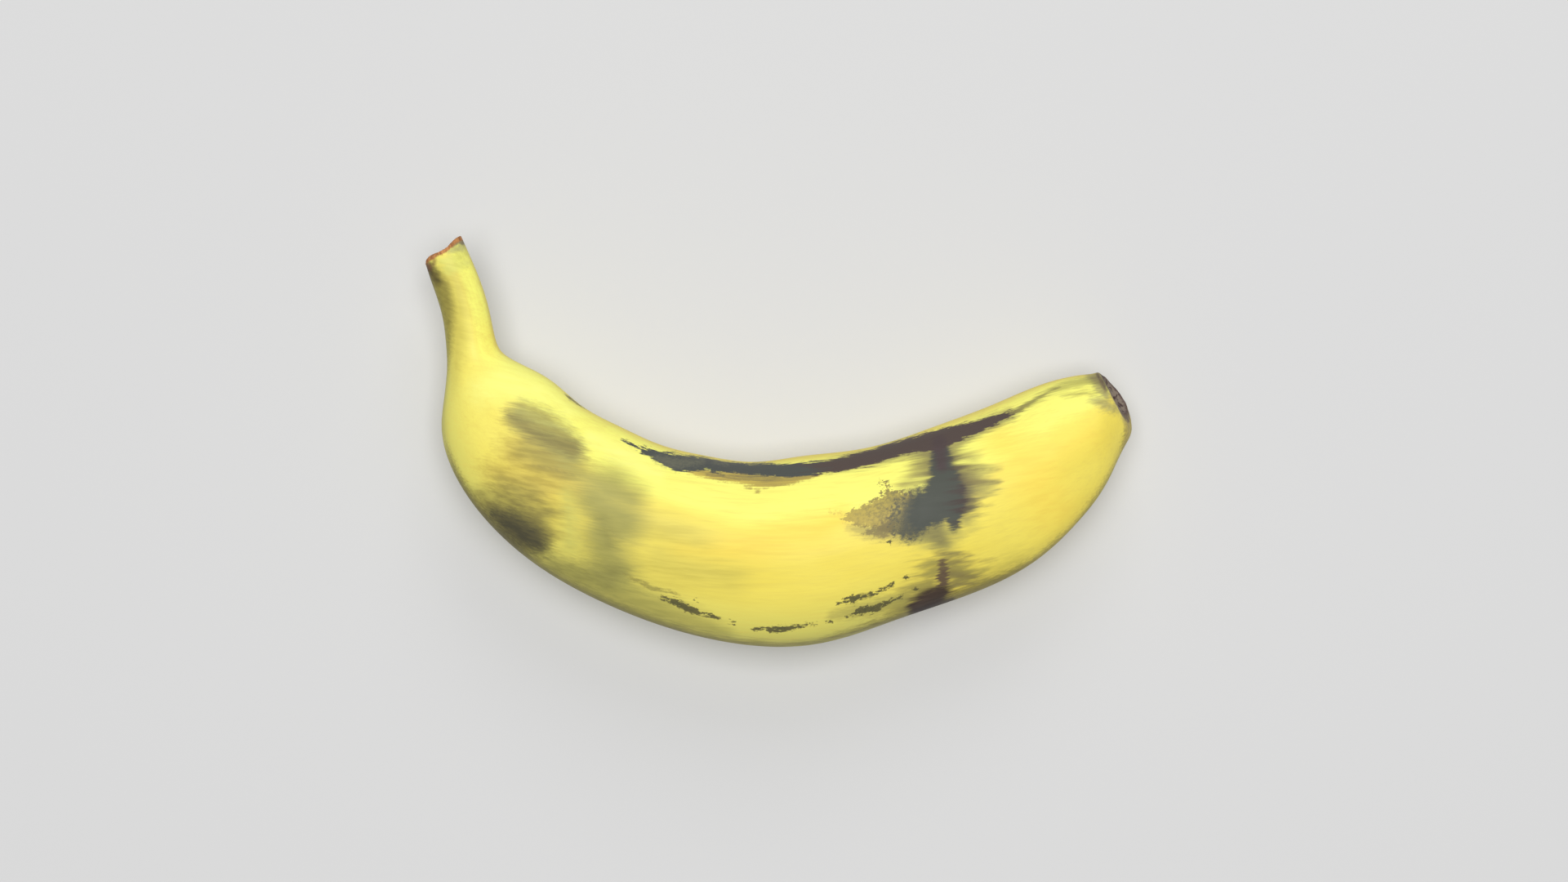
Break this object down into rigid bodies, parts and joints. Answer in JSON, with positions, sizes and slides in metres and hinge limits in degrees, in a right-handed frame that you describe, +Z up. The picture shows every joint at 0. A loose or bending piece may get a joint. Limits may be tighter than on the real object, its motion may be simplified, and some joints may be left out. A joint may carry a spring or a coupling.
{
  "type": "banana",
  "caption": "Single ripe banana with a bruised yellow peel, broken from its hand and lying on its side.",
  "frame": {"origin": "middle of the fruit's box on the surface it lies on", "axes": "+Z up out of the surface it lies on, square to the plane of its bend; +X from the stem end to the blossom end; +Y from the back of the bend to its belly"},
  "size_m": [0.1526, 0.0885, 0.0376],
  "materials": {
    "peel": "satin, waxy ripe peel, yellow with olive, ochre and dark brown bruises, dark at both ends"
  },
  "bodies": {
    "root": {"banana": "peel"}
  },
  "joints": []
}
